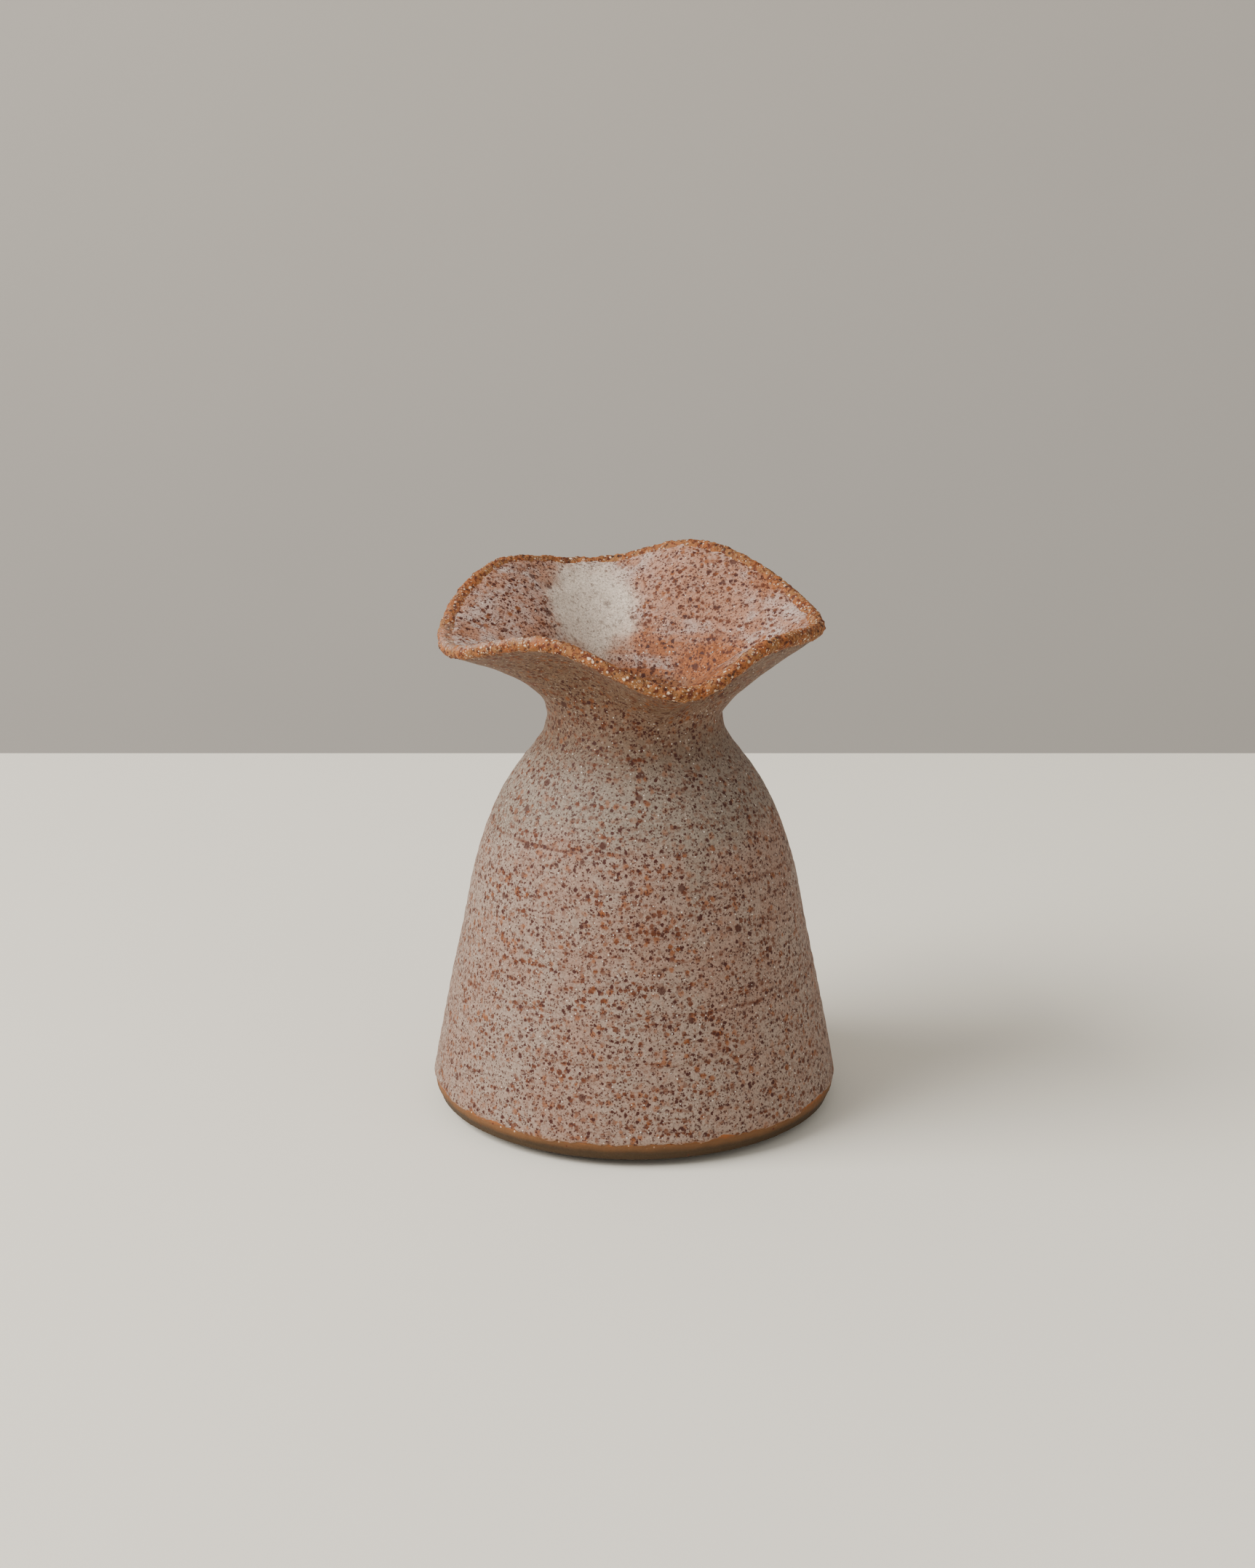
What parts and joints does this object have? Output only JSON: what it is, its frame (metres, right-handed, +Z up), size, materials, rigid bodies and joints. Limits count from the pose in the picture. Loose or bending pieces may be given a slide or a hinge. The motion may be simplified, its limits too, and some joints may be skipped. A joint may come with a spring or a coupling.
{
  "type": "bud vase",
  "caption": "Small thrown stoneware bud vase: set-in foot, tapered body, narrow neck, flared wavy lip.",
  "frame": {"origin": "centre of the flat foot, on the surface the vase stands on", "axes": "+Z up along the throwing axis; -Y is the side of the drooping front lobe of the lip; +X to the right seen from there"},
  "size_m": [0.076, 0.076, 0.1003],
  "materials": {
    "bare_clay": "bare speckled stoneware, matte and gritty",
    "outer_glaze": "satin pinkish grey glaze with iron specks",
    "inner_glaze": "satin pale glaze breaking to orange"
  },
  "bodies": {
    "root": {"clay_body": "bare_clay", "outer_glaze": "outer_glaze", "inner_glaze": "inner_glaze"}
  },
  "joints": []
}
